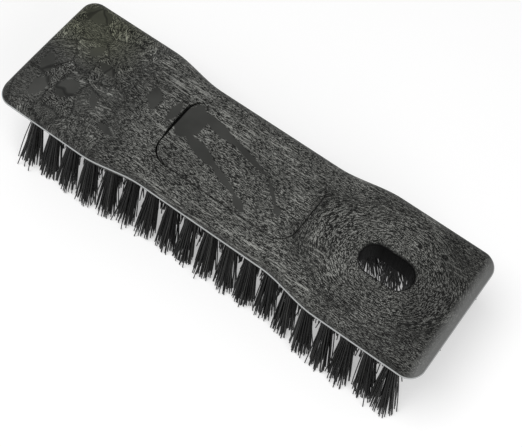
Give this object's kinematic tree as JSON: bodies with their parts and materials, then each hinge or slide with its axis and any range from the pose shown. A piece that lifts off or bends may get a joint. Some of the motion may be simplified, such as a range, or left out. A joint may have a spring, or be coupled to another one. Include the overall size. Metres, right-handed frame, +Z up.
{
  "type": "pool wall brush",
  "caption": "Hand scrub brush for pool walls: waisted moulded block with a flat label pad and a hanging slot, filled with rows of stiff anchored tufts that flare outwards.",
  "frame": {"origin": "on the surface under the middle of the brush, where the trimmed bristle ends stand", "axes": "+X along the block towards the hanging slot, +Y across the block to the back row of tufts, +Z up through the label pad"},
  "size_m": [0.203, 0.0718, 0.0451],
  "materials": {
    "moulded_plastic": "matte foamed plastic with flow marks",
    "bristle": "satin filament",
    "anchor_wire": "galvanised"
  },
  "bodies": {
    "root": {"back_row_tufts": "bristle", "brush_block": "moulded_plastic", "fourth_row_tufts": "bristle", "front_01_anchor": "anchor_wire", "front_01_tuft": "bristle", "front_02_anchor": "anchor_wire", "front_02_tuft": "bristle", "front_03_anchor": "anchor_wire", "front_03_tuft": "bristle", "front_04_anchor": "anchor_wire", "front_04_tuft": "bristle", "front_05_anchor": "anchor_wire", "front_05_tuft": "bristle", "front_06_anchor": "anchor_wire", "front_06_tuft": "bristle", "front_07_anchor": "anchor_wire", "front_07_tuft": "bristle", "front_08_anchor": "anchor_wire", "front_08_tuft": "bristle", "front_09_anchor": "anchor_wire", "front_09_tuft": "bristle", "front_10_anchor": "anchor_wire", "front_10_tuft": "bristle", "front_11_anchor": "anchor_wire", "front_11_tuft": "bristle", "front_12_anchor": "anchor_wire", "front_12_tuft": "bristle", "front_13_anchor": "anchor_wire", "front_13_tuft": "bristle", "front_14_anchor": "anchor_wire", "front_14_tuft": "bristle", "front_15_anchor": "anchor_wire", "front_15_tuft": "bristle", "front_16_anchor": "anchor_wire", "front_16_tuft": "bristle", "front_17_anchor": "anchor_wire", "front_17_tuft": "bristle", "front_18_anchor": "anchor_wire", "front_18_tuft": "bristle", "front_19_anchor": "anchor_wire", "front_19_tuft": "bristle", "middle_row_tufts": "bristle", "second_row_tufts": "bristle", "slot_end_1_anchor": "anchor_wire", "slot_end_1_tuft": "bristle"}
  },
  "joints": []
}
